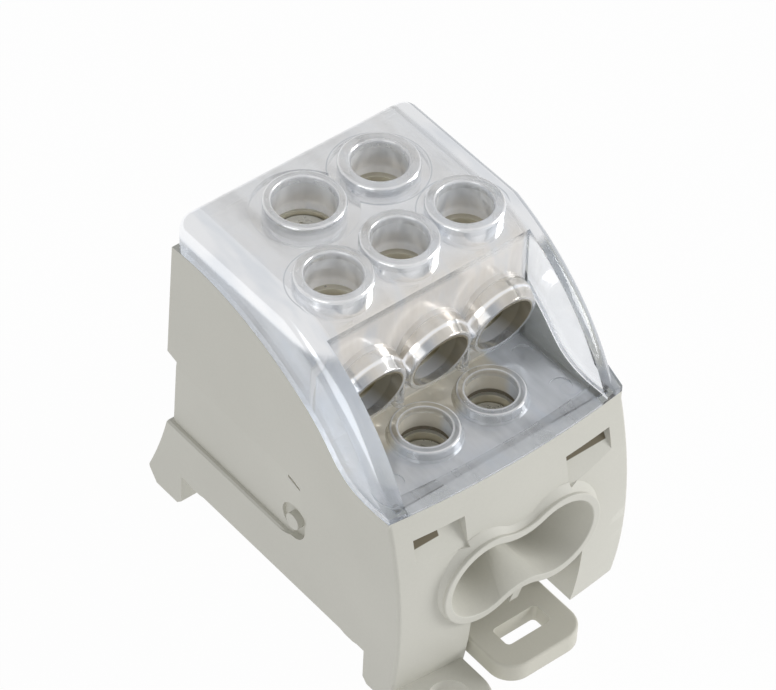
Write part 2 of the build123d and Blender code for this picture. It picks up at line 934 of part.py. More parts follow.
def deck_collar(x):
    """Cone-shaped collar round a lower screw hole, with a short sleeve below the deck."""
    middle_z = deck_z + deck_collar_height / 2
    cone = Pos(x, lower_screw_y, middle_z) * Cone(deck_collar_base, deck_collar_radius, deck_collar_height)
    rim = cone.edges().filter_by(GeomType.CIRCLE).sort_by(Axis.Z)[-1]
    cone = fillet(rim, rim_rounding_share * (deck_collar_radius - deck_collar_hole))
    sleeve_low_z = conductor_step_z + sleeve_gap
    return cone + upright(sleeve_radius, x, lower_screw_y, sleeve_low_z, deck_z)


def snap_tab(side):
    """Springy tab of the cover behind the output side, with its catch in the window."""
    xs = sorted((side * (window_inner_x + tab_inset), side * (window_outer_x - tab_inset)))
    root_z = deck_z - deck_thickness / 2
    catch_top_z = window_top_z - tab_play
    catch_low_z = catch_top_z - tab_nose_height
    nose_reach = front_top_reach - tab_nose_setback
    outline = Polyline(
        (-skirt_front_reach, root_z),
        (-skirt_front_reach, catch_top_z),
        (-nose_reach, catch_top_z),
        (-nose_reach, (catch_top_z + catch_low_z) / 2),
        (-skirt_front_reach, catch_low_z),
        (-skirt_front_reach + tab_thickness, catch_low_z),
        (-skirt_front_reach + tab_thickness, root_z),
        close=True,
    )
    tab = side_solid(outline, (xs[1] - xs[0]) / 2)
    return Pos((xs[0] + xs[1]) / 2, 0, 0) * tab


def ejector_mark(x, y):
    """Shallow round mark in the deck."""
    return upright(mark_radius, x, y, deck_z - mark_depth, deck_z + overrun)


def make_cover():
    """Clear moulded cover with collars, riser, hoods, deck and fins."""
    body = side_solid(cover_profile(), half_width)
    body &= bowed(Polyline(
        (-front_top_reach, 0),
        (-front_top_reach, cover_top_z + overrun),
        (back_heel_reach, cover_top_z + overrun),
        (back_heel_reach, 0),
        close=True,
    ))
    rounded = []
    for edge in body.edges():
        box = edge.bounding_box()
        on_side = abs(abs(edge.center().X) - half_width) < fit_gap / 10
        above = box.min.Z > seam_back_z + fit_gap
        curved = edge.geom_type == GeomType.CIRCLE
        along_top = edge.geom_type == GeomType.LINE and box.max.Z - box.min.Z < fit_gap
        if on_side and (curved or (along_top and above)):
            rounded.append(edge)
    body = fillet(rounded, cover_edge_radius)
    body += cover_skirt()
    body -= step_recess()
    for x in output_places():
        body += Pos(x, 0, 0) * hood()
    for side in (-1, 1):
        body += riser_peg(side)
    body -= cover_room()
    for x in output_places():
        body -= Pos(x, 0, 0) * hood_bore()
    for x, y, outer, inner, moat in top_collars():
        if moat:
            body -= upright(moat, x, y, cover_top_z - moat_depth, cover_top_z + overrun)
    for x, y, outer, inner, moat in top_collars():
        body -= upright(inner, x, y, conductor_top_z, cover_top_z + overrun)
        body += ring(outer, inner, x, y, conductor_top_z + sleeve_gap, cover_top_z + collar_height)
    for side in (-1, 1):
        x = side * lower_bore_x
        body += deck_collar(x)
        body -= upright(deck_collar_hole, x, lower_screw_y, lower_bore_z, cover_top_z)
        body += snap_tab(side)
        for y in (mark_front_y, mark_back_y):
            body -= ejector_mark(side * mark_x, y)
    return body


def make_latch():
    """Sliding latch that grips the near flange of the rail, with a slot for a screwdriver."""
    low_z = latch_top_z - latch_thickness
    outline = Polyline(
        (-latch_front_reach, low_z),
        (-latch_stop_reach, low_z),
        (-latch_stop_reach, low_z - latch_stop_drop),
        (-latch_stop_reach + latch_stop_land, low_z - latch_stop_drop),
        (-latch_back_reach, latch_nose_top_z - latch_nose_land),
        (-latch_back_reach, latch_nose_top_z),
        (-latch_step_reach, latch_nose_top_z),
        (-latch_step_reach, latch_top_z),
        (-latch_front_reach, latch_top_z),
        close=True,
    )
    body = side_solid(outline, latch_half_width)
    corners = body.edges().filter_by(Axis.Z).group_by(Axis.Y)[0]
    body = fillet(corners, latch_corner_radius)
    top_rim = body.faces().sort_by(Axis.Z)[-1].edges()
    top_rim = [edge for edge in top_rim if edge.center().Y < -latch_step_reach - fit_gap]
    body = fillet(top_rim, latch_edge)
    slot_y = -latch_slot_front_reach + latch_slot_width / 2
    slot = RectangleRounded(latch_slot_length, latch_slot_width, latch_slot_radius)
    body -= extrude(Pos(0, slot_y, low_z - overrun) * slot, amount=latch_thickness + 2 * overrun)
    return body


def main():
    """Build every piece and write it to the parts folder."""
    os.makedirs("parts", exist_ok=True)
    pieces = {
        "housing": make_housing(),
        "conductor_block": make_conductor(),
        "clear_cover": make_cover(),
        "rail_latch": make_latch(),
    }
    for name, *sizes in screw_table():
        pieces[name] = make_screw(*sizes)
    for name, piece in pieces.items():
        piece.label = name
        export_step(piece, os.path.join("parts", name + ".step"))


if __name__ == "__main__":
    main()
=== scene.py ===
"""Visual model of a power distribution block: moulded housing, clear stepped cover and metal."""

import logging
from dataclasses import dataclass, field
from enum import Enum
from typing import Mapping, Sequence, Union

import bpy
from mathutils import Matrix, Vector

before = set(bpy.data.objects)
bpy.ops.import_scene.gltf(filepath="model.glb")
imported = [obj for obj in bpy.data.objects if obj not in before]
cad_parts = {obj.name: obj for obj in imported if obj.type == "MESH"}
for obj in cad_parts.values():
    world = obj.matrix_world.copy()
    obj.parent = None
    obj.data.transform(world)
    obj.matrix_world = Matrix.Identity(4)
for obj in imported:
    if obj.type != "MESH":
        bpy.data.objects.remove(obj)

log = logging.getLogger("distribution_block")

PER_METRE = 1000.0
NOISE_MEAN = 0.5

Colour = tuple[float, float, float, float]
Point = tuple[float, float, float]
Number = Union[float, int]

# A soft step is a place and a width. A band is a start, an end and the width of its flanks.
Step = tuple[float, float]
Band = tuple[float, float, float]

# Features per metre, octaves, weight of the finer octaves, and the stretch along each axis.
Pattern = tuple[float, float, float, Point]

EVEN: Point = (1.0, 1.0, 1.0)
WHITE: Colour = (1.0, 1.0, 1.0, 1.0)


def grey(red: float, green: float, blue: float) -> Colour:
    """A display colour (0 to 255 on each channel) as linear light.

    Args:
        red: Red channel.
        green: Green channel.
        blue: Blue channel.

    Returns:
        The linear colour with full alpha.
    """
    def linear(channel: float) -> float:
        """One channel as linear light."""
        share = channel / 255.0
        return share / 12.92 if share <= 0.04045 else ((share + 0.055) / 1.055) ** 2.4
    return (linear(red), linear(green), linear(blue), 1.0)


# Shader graphs


class Wire:
    """A number that runs along a shader graph, with ordinary arithmetic."""

    def __init__(self, graph: "Graph", socket: bpy.types.NodeSocket) -> None:
        """Wrap one output socket.

        Args:
            graph: The graph that owns the socket.
            socket: The output socket.
        """
        self.graph = graph
        self.socket = socket

    def _math(self, operation: str, *others: Union["Wire", Number]) -> "Wire":
        """Add a Math node over this wire and others.

        Args:
            operation: The Math node's operation.
            *others: The other operands.

        Returns:
            The result.
        """
        operands: list[Union[Wire, Number]] = [self, *others]
        values = {index: operand for index, operand in enumerate(operands)}
        node = self.graph.add("ShaderNodeMath", {"operation": operation}, values)
        return Wire(self.graph, node.outputs[0])

    def _flipped(self, operation: str, other: Number) -> "Wire":
        """Add a Math node whose first operand is a plain number.

        Args:
            operation: The Math node's operation.
            other: The first operand.

        Returns:
            The result.
        """
        node = self.graph.add("ShaderNodeMath", {"operation": operation}, {0: other, 1: self})
        return Wire(self.graph, node.outputs[0])

    def __add__(self, other: Union["Wire", Number]) -> "Wire":
        """Sum."""
        return self._math("ADD", other)

    def __radd__(self, other: Number) -> "Wire":
        """Sum with the number first."""
        return self._flipped("ADD", other)

    def __sub__(self, other: Union["Wire", Number]) -> "Wire":
        """Difference."""
        return self._math("SUBTRACT", other)

    def __rsub__(self, other: Number) -> "Wire":
        """Difference with the number first."""
        return self._flipped("SUBTRACT", other)

    def __mul__(self, other: Union["Wire", Number]) -> "Wire":
        """Product."""
        return self._math("MULTIPLY", other)

    def __rmul__(self, other: Number) -> "Wire":
        """Product with the number first."""
        return self._flipped("MULTIPLY", other)

    def absolute(self) -> "Wire":
        """Value without its sign."""
        return self._math("ABSOLUTE")

    def root(self) -> "Wire":
        """Square root."""
        return self._math("SQRT")

    def above(self, edge: float, width: float) -> "Wire":
        """Soft step: 0 below the edge, 1 a width above it.

        Args:
            edge: Where the step starts.
            width: How wide the step is.

        Returns:
            The step, from 0 to 1.
        """
        node = self.graph.add(
            "ShaderNodeMapRange",
            {"interpolation_type": "SMOOTHSTEP", "clamp": True},
            {"Value": self, "From Min": edge, "From Max": edge + width,
             "To Min": 0.0, "To Max": 1.0},
        )
        return Wire(self.graph, node.outputs[0])

    def below(self, edge: float, width: float) -> "Wire":
        """Soft step down: 1 below the edge, 0 a width above it.

        Args:
            edge: Where the step starts.
            width: How wide the step is.

        Returns:
            The step, from 1 to 0.
        """
        return 1.0 - self.above(edge, width)

    def near(self, place: float, width: float) -> "Wire":
        """Soft band: 1 at a place, 0 a width away on either side.

        Args:
            place: The middle of the band.
            width: Its half width.

        Returns:
            The band, from 0 to 1.
        """
        return (self - place).absolute().below(0.0, width)

    def between(self, low: float, high: float, width: float) -> "Wire":
        """Soft plateau: 1 from low to high, falling to 0 over a width outside.

        Args:
            low: Where the plateau starts.
            high: Where it ends.
            width: How wide each flank is.

        Returns:
            The plateau, from 0 to 1.
        """
        return self.above(low - width, width) * self.below(high, width)


def distance(first: Wire, first_place: float, second: Wire, second_place: float) -> Wire:
    """Distance from a line that stands square to two axes.

    Args:
        first: Coordinate along the first axis.
        first_place: Where the line is on it.
        second: Coordinate along the second axis.
        second_place: Where the line is on it.

    Returns:
        The distance.
    """
    across = first - first_place
    along = second - second_place
    return (across * across + along * along).root()


class Graph:
    """The node graph of a material or of the world."""

    def __init__(self, owner: Union[bpy.types.Material, bpy.types.World]) -> None:
        """Start an empty graph.

        Args:
            owner: The material or the world.
        """
        owner.use_nodes = True
        self.owner = owner
        self.tree = owner.node_tree
        self.tree.nodes.clear()

    def add(
        self,
        kind: str,
        settings: Mapping[str, object] | None = None,
        values: Mapping[Union[str, int], object] | None = None,
    ) -> bpy.types.Node:
        """Add a node, set its options first and then its sockets.

        Args:
            kind: The node's type.
            settings: Options of the node, by attribute name.
            values: Values or links of its input sockets, by name or index.

        Returns:
            The new node.
        """
        node = self.tree.nodes.new(kind)
        for option, choice in (settings or {}).items():
            setattr(node, option, choice)
        for key, value in (values or {}).items():
            socket = node.inputs[key]
            if isinstance(value, Wire):
                self.tree.links.new(value.socket, socket)
            elif isinstance(value, bpy.types.NodeSocket):
                self.tree.links.new(value, socket)
            else:
                socket.default_value = value
        return node

    def place(self) -> bpy.types.NodeSocket:
        """The piece's own coordinates, in metres."""
        return self.add("ShaderNodeTexCoord").outputs["Object"]

    def axes(self) -> tuple[Wire, Wire, Wire]:
        """The three coordinates of a surface point, in millimetres.

        Returns:
            The X, Y and Z wires.
        """
        split = self.add("ShaderNodeSeparateXYZ", None, {0: self.place()})
        return tuple(Wire(self, split.outputs[index]) * PER_METRE for index in range(3))

    def noise(self, pattern: Pattern) -> Wire:
        """Noise over the surface.

        Args:
            pattern: Features per metre, octaves, weight of the finer ones, and stretch.

        Returns:
            The noise, from about 0 to 1.
        """
        scale, octaves, weight, stretch = pattern
        mapping = self.add("ShaderNodeMapping", None, {"Vector": self.place(), "Scale": stretch})
        node = self.add(
            "ShaderNodeTexNoise",
            {"noise_dimensions": "3D"},
            {"Vector": mapping.outputs[0], "Scale": scale, "Detail": octaves,
             "Roughness": weight},
        )
        return Wire(self, node.outputs["Fac"])

    def blend(self, share: Wire, low: Union[Colour, bpy.types.NodeSocket],
              high: Union[Colour, bpy.types.NodeSocket]) -> bpy.types.NodeSocket:
        """Mix two colours.

        Args:
            share: Share of the second colour.
            low: First colour.
            high: Second colour.

        Returns:
            The mixed colour.
        """
        node = self.add("ShaderNodeMix", {"data_type": "RGBA"}, {0: share, 6: low, 7: high})
        return node.outputs[2]

    def bump(self, height: Wire, depth: float, strength: float = 1.0) -> bpy.types.NodeSocket:
        """Surface relief.

        Args:
            height: Relief, from 0 to 1.
            depth: Height of the relief in metres.
            strength: Share of the relief that shows.

        Returns:
            The normal.
        """
        node = self.add("ShaderNodeBump", None,
                        {"Strength": strength, "Distance": depth, "Height": height})
        return node.outputs["Normal"]

    def mix(self, share: Wire, low: bpy.types.Node, high: bpy.types.Node) -> bpy.types.Node:
        """Mix two shaders.

        Args:
            share: Share of the second shader.
            low: First shader.
            high: Second shader.

        Returns:
            The mixing node.
        """
        return self.add("ShaderNodeMixShader", None,
                        {0: share, 1: low.outputs[0], 2: high.outputs[0]})

    def rays(self, *kinds: str) -> Wire:
        """Whether the present ray is of one of some kinds.

        Args:
            *kinds: Names of the kinds, such as Camera or Shadow.

        Returns:
            1 if it is, 0 if it isn't.
        """
        path = self.add("ShaderNodeLightPath")
        found = [Wire(self, path.outputs[f"Is {kind} Ray"]) for kind in kinds]
        return sum(found[1:], found[0]).above(0.0, 1.0)

    def finish(self, shader: bpy.types.Node,
               kind: str = "Material") -> Union[bpy.types.Material, bpy.types.World]:
        """Send a shader to the output.

        Args:
            shader: The last shader node.
            kind: Material or World.

        Returns:
            The material or the world.
        """
        self.add(f"ShaderNodeOutput{kind}", None, {"Surface": shader.outputs[0]})
        return self.owner


# Finishes


@dataclass(frozen=True)
class MouldedPlastic:
    """Satin moulded plastic with a fine spark-eroded grain. Slots are in millimetres."""

    name: str
    colour: Colour
    shade: Colour
    roughness: float = 0.5
    roughness_range: float = 0.12
    specular: float = 0.4
    cloud: Pattern = (55.0, 2.0, 0.5, EVEN)
    speckle: Pattern = (2600.0, 2.0, 0.5, EVEN)
    speckle_share: float = 0.3
    tone: Step = (0.25, 0.5)
    grain: Pattern = (9000.0, 2.0, 0.5, EVEN)
    grain_depth: float = 0.000012
    grain_strength: float = 0.5
    # Painted shadow in the front windows: a dark band just below the real slot along each window's
    # upper edge, across these spans.
    slots: Sequence[tuple[float, float]] = ()
    slot_end: float = 0.2
    slot_height: Band = (25.35, 26.3, 0.12)
    slot_back: Step = (-21.0, 0.2)
    painted_slot_shadow: Colour = grey(104, 96, 76)

    def _slot_shadows(self, x: Wire, y: Wire, z: Wire) -> Wire:
        """Painted shadow: dark bands along the upper edge of the front windows, just below the
        real slots.

        Args:
            x: Place across the block.
            y: Place along it.
            z: Height.

        Returns:
            The painted shadow, from 0 to 1.
        """
        found = x * 0.0
        for left, right in self.slots:
            found = found + x.between(left, right, self.slot_end)
        return found * z.between(*self.slot_height) * y.below(*self.slot_back)

    def material(self) -> bpy.types.Material:
        """Build the finish.

        Returns:
            The material.
        """
        graph = Graph(bpy.data.materials.new(self.name))
        cloud = graph.noise(self.cloud)
        speckle = graph.noise(self.speckle)
        tone = cloud * (1.0 - self.speckle_share) + speckle * self.speckle_share
        colour = graph.blend(tone.above(*self.tone), self.shade, self.colour)
        # Painted shadow in the slots of the front windows.
        colour = graph.blend(self._slot_shadows(*graph.axes()), colour, self.painted_slot_shadow)
        grain = graph.noise(self.grain)
        shader = graph.add("ShaderNodeBsdfPrincipled", None, {
            "Base Color": colour,
            "Roughness": (speckle - NOISE_MEAN) * self.roughness_range + self.roughness,
            "Specular IOR Level": self.specular,
            "Normal": graph.bump(grain, self.grain_depth, self.grain_strength),
        })
        return graph.finish(shader)


class Zone(Enum):
    """Zones of the clear cover, and the painted highlights, shade, glow and reflection on it."""

    TOP = "top plate and all above the step"
    RISER = "riser, between the top and the deck"
    DECK = "deck between the fins"
    LOW = "deck and all below it"
    SIDE = "both fins and the side walls"
    LEFT_FIN = "left fin"
    RIGHT = "right side over its whole height"
    RIGHT_FIN = "right fin below the top"
    # Painted grey shade.
    EDGE = "outer edge of the right side"
    WALLS = "walls of the collars"
    HOODS = "hoods"
    # Painted dark shade.
    TABS = "snap tabs in the housing"
    # Painted highlights.
    RIMS = "rims of the collars"
    WELLS = "holes in the collars"
    # Painted highlights.
    ARCHES = "front edges of the hoods"
    # Painted shade.
    SHADES = "left flanks of the hoods"
    # Painted dark gold shade.
    MOUTHS = "mouths of the hoods"
    # Painted shade rings.
    RINGS = "fine rings on the deck and the top"
    # Painted warm glow.
    GLOW = "warm band along the step"
    FOOT = "sand-coloured foot of the riser"
    # Painted streaks of reflection.
    STREAKS = "uneven flow of the plastic"
    # Painted cool reflection.
    PATCHES = "cool patches of that flow"


Weights = Sequence[tuple[Zone, float]]


@dataclass(frozen=True)
class ClearMoulding:
    """Clear moulded plastic, mixed by zone with a milky silvery shader of painted reflection,
    highlight and shade.

    Lengths are in millimetres. A collar is its place across and along the block, the radius
    of its hole and its outer radius. A painted shade ring is its place, its radius and its height.
    """

    name: str
    colour: Colour
    # White of the milky shader: painted reflection.
    reflection_white: Colour = grey(250, 251, 253)
    clarity: float = 0.9
    refraction: float = 1.49
    glass_roughness: float = 0.03
    glass_range: float = 0.04
    milk_roughness: float = 0.1
    milk_range: float = 0.12
    flow: Pattern = (140.0, 2.0, 0.5, (1.0, 0.35, 0.35))
    flow_depth: float = 0.00008
    flow_strength: float = 0.25
    # Painted streaks of reflection, bright and cool in turn.
    streaks: Pattern = (230.0, 3.0, 0.6, (1.0, 0.25, 0.25))
    patches: Step = (0.5, 0.2)

    fin: Step = (14.6, 0.8)
    right: Step = (14.2, 0.6)
    # Band of painted grey shade along the outer edge of the right side.
    edge: Band = (16.9, 17.6, 0.2)
    top: Step = (45.6, 1.2)
    deck: Step = (31.4, 1.2)
    # Height below which the snap tabs get painted dark shade.
    tab: Step = (28.2, 0.3)
    top_wall: Step = (49.2, 0.2)
    deck_wall: Step = (30.4, 0.2)
    # Band of painted warm glow along the step.
    glow: Band = (39.5, 46.5, 2.5)
    foot: Band = (-11.0, -6.5, 1.5)
    foot_end: Step = (8.5, 1.2)

    collars: Sequence[tuple[float, float, float, float]] = (
        (-9.95, -0.3, 3.5, 4.9), (0.0, -0.3, 3.5, 4.9), (9.95, -0.3, 3.5, 4.9),
        (-4.95, 11.4, 4.0, 5.1), (6.4, 11.4, 3.5, 5.1),
        (-5.1, -12.4, 3.25, 4.3), (5.1, -12.4, 3.25, 4.3),
    )
    riser_place: float = -6.0
    # Heights and widths of the painted highlights on the collars' rims.
    top_rim: Step = (50.5, 0.5)
    deck_rim: Step = (31.5, 0.5)
    hole_rim: Step = (0.12, 0.22)
    outer_rim: Step = (-0.15, 0.2)
    well: Step = (0.1, 0.3)

    hoods: Sequence[float] = (-9.95, 0.0, 9.95)
    bore_height: float = 36.6
    hood_foot: Step = (31.6, 0.4)
    hood_face: Step = (-7.0, 0.3)
    # Painted highlight along each hood's front edge.
    arch: Step = (5.3, 0.2)
    arch_front: Step = (-10.4, 0.2)
    arch_back: Step = (-6.4, 0.3)
    # Painted shade on the left flank of each hood.
    flank: Band = (4.3, 5.0, 0.3)
    flank_place: Step = (-2.6, 2.2)
    flank_rise: Step = (0.5, 1.0)
    flank_face: Step = (-6.9, 0.3)
    # Painted dark gold shade in each hood's mouth.
    mouth: Step = (4.08, 0.12)
    mouth_rise: Step = (-4.3, 1.6)
    mouth_back: Step = (-4.6, 0.3)

    # Painted shade rings.
    rings: Sequence[tuple[float, float, float, float]] = (
        (13.7, -9.9, 1.2, 30.1), (13.7, -16.9, 1.2, 30.1),
        (-4.95, 11.4, 6.5, 49.0), (6.4, 11.4, 6.3, 49.0),
        (-9.95, -0.3, 5.8, 49.0), (9.95, -0.3, 5.8, 49.0),
    )
    ring_width: float = 0.16
    ring_depth: float = 0.5

    # Share of the milky shader by zone, which paints reflection, highlights and shade on the clear
    # plastic.
    painted_reflection_share: Weights = (
        (Zone.TOP, 0.76), (Zone.RISER, 0.94), (Zone.DECK, 0.74), (Zone.SIDE, 0.5),
        (Zone.WALLS, -0.3), (Zone.HOODS, -0.25), (Zone.RIGHT_FIN, -0.5), (Zone.EDGE, 0.7),
        (Zone.STREAKS, 1.2), (Zone.RIMS, 0.5), (Zone.ARCHES, 0.5), (Zone.SHADES, 0.3),
        (Zone.TABS, 1.0), (Zone.MOUTHS, 0.3), (Zone.RINGS, 0.2),
    )
    silver: Weights = (
        (Zone.TOP, 0.85), (Zone.RISER, 0.32), (Zone.DECK, 0.25), (Zone.SIDE, 0.7),
        (Zone.HOODS, 0.55), (Zone.WELLS, -0.5), (Zone.RIGHT, -0.5), (Zone.ARCHES, 0.4),
    )
    dull: Weights = ((Zone.MOUTHS, 0.6), (Zone.TABS, 1.0), (Zone.EDGE, 1.0))
    # Painted tints over that white, in order: warm glow, cool reflection, grey shade, a sand strip
    # at the riser's foot, white highlights, dark shade on the tabs, dark gold shade in the mouths.
    painted_tints: Sequence[tuple[Weights, Colour]] = (
        (((Zone.GLOW, 0.85),), grey(246, 240, 232)),
        (((Zone.PATCHES, 0.5), (Zone.LOW, 0.35), (Zone.LEFT_FIN, 0.6)), grey(220, 226, 234)),
        (((Zone.SHADES, 0.75), (Zone.RINGS, 0.45), (Zone.EDGE, 0.6)), grey(150, 158, 168)),
        (((Zone.FOOT, 0.8),), grey(242, 230, 204)),
        (((Zone.RIMS, 1.0), (Zone.ARCHES, 1.0)), grey(253, 253, 254)),
        (((Zone.TABS, 1.0),), grey(112, 102, 84)),
        (((Zone.MOUTHS, 0.85),), grey(138, 127, 96)),
    )

    def _plan(self, x: Wire, y: Wire, z: Wire) -> dict[Zone, Wire]:
        """The cover's large zones.

        Args:
            x: Place across the block.
            y: Place along it.
            z: Height.

        Returns:
            The zones, each from 0 to 1.
        """
        side = x.absolute().above(*self.fin)
        right = x.above(*self.right)
        top = z.above(*self.top)
        low = z.below(*self.deck)
        tabs = z.below(*self.tab)
        inner = 1.0 - side
        return {
            Zone.TOP: top,
            Zone.RISER: (1.0 - top) * (1.0 - low) * inner,
            Zone.DECK: low * inner,
            Zone.LOW: low,
            Zone.SIDE: side,
            Zone.LEFT_FIN: side * (1.0 - right) * (1.0 - top),
            Zone.RIGHT: right,
            Zone.RIGHT_FIN: right * (1.0 - top),
            Zone.EDGE: x.between(*self.edge) * (1.0 - tabs),
            Zone.WALLS: z.above(*self.top_wall) + low * z.above(*self.deck_wall),
            Zone.HOODS: y.below(*self.hood_face) * z.above(*self.hood_foot) * inner,
            Zone.TABS: tabs,
            Zone.GLOW: z.between(*self.glow) * inner,
            Zone.FOOT: y.between(*self.foot) * x.below(*self.foot_end) * low * inner,
        }

    def _collars(self, x: Wire, y: Wire, z: Wire) -> dict[Zone, Wire]:
        """Painted highlights on the rims of the collars, and the wells inside them.

        Args:
            x: Place across the block.
            y: Place along it.
            z: Height.

        Returns:
            The rim highlights and the wells, each from 0 to 1.
        """
        rims = wells = x * 0.0
        hole_gap, hole_width = self.hole_rim
        outer_gap, outer_width = self.outer_rim
        well_gap, well_width = self.well
        for across, along, hole, outer in self.collars:
            reach = distance(x, across, y, along)
            rim = z.near(*(self.top_rim if along > self.riser_place else self.deck_rim))
            rims = rims + reach.near(hole + hole_gap, hole_width) * rim
            rims = rims + reach.near(outer + outer_gap, outer_width) * rim
            wells = wells + reach.below(hole + well_gap, well_width)
        return {Zone.RIMS: rims, Zone.WELLS: wells}

    def _hoods(self, x: Wire, y: Wire, z: Wire) -> dict[Zone, Wire]:
        """Painted highlights on the hoods' front edges, painted shade on their left flanks and in
        their mouths.

        Args:
            x: Place across the block.
            y: Place along it.
            z: Height.

        Returns:
            The edge highlights, the flank shades and the mouth shades, each from 0 to 1.
        """
        arches = shades = mouths = x * 0.0
        rise = z - self.bore_height
        for across in self.hoods:
            reach = distance(x, across, z, self.bore_height)
            arches = arches + reach.near(*self.arch)
            left = (x - across).near(*self.flank_place) * rise.above(*self.flank_rise)
            shades = shades + reach.between(*self.flank) * left
            mouths = mouths + reach.below(*self.mouth) * rise.above(*self.mouth_rise)
        front = z.above(*self.hood_foot) * y.below(*self.arch_back) * y.above(*self.arch_front)
        return {
            Zone.ARCHES: arches * front,
            Zone.SHADES: shades * y.below(*self.flank_face),
            Zone.MOUTHS: mouths * y.below(*self.mouth_back),
        }

    def _rings(self, x: Wire, y: Wire, z: Wire) -> dict[Zone, Wire]:
        """Painted shade rings on the deck, and round the feet of the upper collars.

        Args:
            x: Place across the block.
            y: Place along it.
            z: Height.

        Returns:
            The shade rings, from 0 to 1.
        """
        rings = x * 0.0
        for across, along, radius, height in self.rings:
            reach = distance(x, across, y, along)
            rings = rings + reach.near(radius, self.ring_width) * z.near(height, self.ring_depth)
        return {Zone.RINGS: rings}

    @staticmethod
    def _weigh(zones: Mapping[Zone, Wire], weights: Weights) -> Wire:
        """Add up zones by their weights.

        Args:
            zones: The zones.
            weights: The weight of each zone that counts.

        Returns:
            The weighted sum.
        """
        parts = [zones[zone] * weight for zone, weight in weights]
        return sum(parts[1:], parts[0])

    def material(self) -> bpy.types.Material:
        """Build the finish.

        Returns:
            The material.
        """
        graph = Graph(bpy.data.materials.new(self.name))
        axes = graph.axes()
        flow = graph.noise(self.flow)
        streaks = graph.noise(self.streaks)
        zones = {Zone.STREAKS: streaks - NOISE_MEAN,
                 Zone.PATCHES: streaks.above(*self.patches)}
        for find in (self._plan, self._collars, self._hoods, self._rings):
            zones.update(find(*axes))
        silver = self._weigh(zones, self.silver)
        for zone, weight in self.dull:
            silver = silver * (1.0 - zones[zone] * weight)
        # Painted reflection, highlights and shade in the milky shader's colour.
        tint = self.reflection_white
        for weights, colour in self.painted_tints:
            tint = graph.blend(self._weigh(zones, weights), tint, colour)
        relief = graph.bump(flow, self.flow_depth, self.flow_strength)
        glass = graph.add("ShaderNodeBsdfPrincipled", None, {
            "Base Color": self.colour,
            "Roughness": flow * self.glass_range + self.glass_roughness,
            "Transmission Weight": 1.0,
            "IOR": self.refraction,
            "Normal": relief,
        })
        milky = graph.add("ShaderNodeBsdfPrincipled", None, {
            "Base Color": tint,
            "Metallic": silver,
            "Roughness": flow * self.milk_range + self.milk_roughness,
            "Normal": relief,
        })
        body = graph.mix(self._weigh(zones, self.painted_reflection_share), glass, milky)
        clear = graph.add("ShaderNodeBsdfTransparent", None, {"Color": self.colour})
        return graph.finish(graph.mix(graph.rays("Shadow", "Diffuse") * self.clarity, body, clear))


@dataclass(frozen=True)
class PlatedMetal:
    """Tin-plated metal, satin, with faint cutting marks and, where given, painted shade round the
    bores.
    """

    name: str
    colour: Colour
    dark: Colour
    roughness: float = 0.32
    roughness_range: float = 0.2
    stains: Pattern = (160.0, 3.0, 0.5, EVEN)
    stain: Step = (0.3, 0.45)
    lines: Pattern = (900.0, 2.0, 0.6, (1.0, 1.0, 12.0))
    line_depth: float = 0.00003
    line_strength: float = 0.3
    metallic: float = 0.6
    # Painted shade round the bores: its height and half width.
    bores: Step | None = None
    bores_back: Step = (-1.5, 1.0)
    bores_edge: Step = (0.0, 0.3)
    bores_shade: Colour = grey(128, 117, 84)

    def material(self) -> bpy.types.Material:
        """Build the finish.

        Returns:
            The material.
        """
        graph = Graph(bpy.data.materials.new(self.name))
        stain = graph.noise(self.stains)
        marks = graph.noise(self.lines)
        colour = graph.blend(stain.above(*self.stain), self.dark, self.colour)
        # Painted shade on the front of the block at the height of the bores.
        if self.bores:
            _, y, z = graph.axes()
            bores = z.near(*self.bores) * y.below(*self.bores_back)
            colour = graph.blend(bores.above(*self.bores_edge), colour, self.bores_shade)
        shader = graph.add("ShaderNodeBsdfPrincipled", None, {
            "Base Color": colour,
            "Metallic": self.metallic,
            "Roughness": (marks - NOISE_MEAN) * self.roughness_range + self.roughness,
            "Normal": graph.bump(marks, self.line_depth, self.line_strength),
        })
        return graph.finish(shader)


class Finish(Enum):
    """The finishes of the block's pieces."""

    # The housing gets painted shadow in the slots of its front windows.
    HOUSING = MouldedPlastic("housing_moulding", grey(216, 215, 206), grey(210, 209, 200),
                             slots=((-14.9, -11.2), (8.2, 14.8)))
    LATCH = MouldedPlastic("latch_moulding", grey(214, 212, 200), grey(208, 206, 194))
    COVER = ClearMoulding("clear_moulding", grey(248, 250, 253))
    CONDUCTOR = PlatedMetal("plated_block", grey(238, 233, 218), grey(216, 209, 190),
                            bores=(36.6, 4.8))
    SCREW = PlatedMetal("plated_screw", grey(234, 231, 220), grey(212, 208, 194),
                        roughness=0.3, lines=(1500.0, 2.0, 0.6, EVEN))

    def material(self) -> bpy.types.Material:
        """The finish's material, built once."""
        return bpy.data.materials.get(self.value.name) or self.value.material()


def dress(node: str, finish: Finish) -> None:
    """Give a CAD node its finish.

    Args:
        node: The node's name.
        finish: The finish.
    """
    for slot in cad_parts[node].material_slots:
        slot.material = finish.material()
    log.info("%s: %s", node, finish.value.name)


# Pieces


@dataclass
class Housing:
    """The moulded housing."""

    def build(self) -> None:
        """Dress the housing."""
        dress("housing", Finish.HOUSING)


@dataclass
class Cover:
    """The clear stepped cover."""

    def build(self) -> None:
        """Dress the cover."""
        dress("clear_cover", Finish.COVER)


@dataclass
class Metalwork:
    """The conductor block and its clamp screws."""

    screws: Sequence[str] = field(default_factory=lambda: [
        name for name in sorted(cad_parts) if "screw" in name
    ])

    def build(self) -> None:
        """Dress the conductor block and every clamp screw."""
        dress("conductor_block", Finish.CONDUCTOR)
        for name in self.screws:
            dress(name, Finish.SCREW)


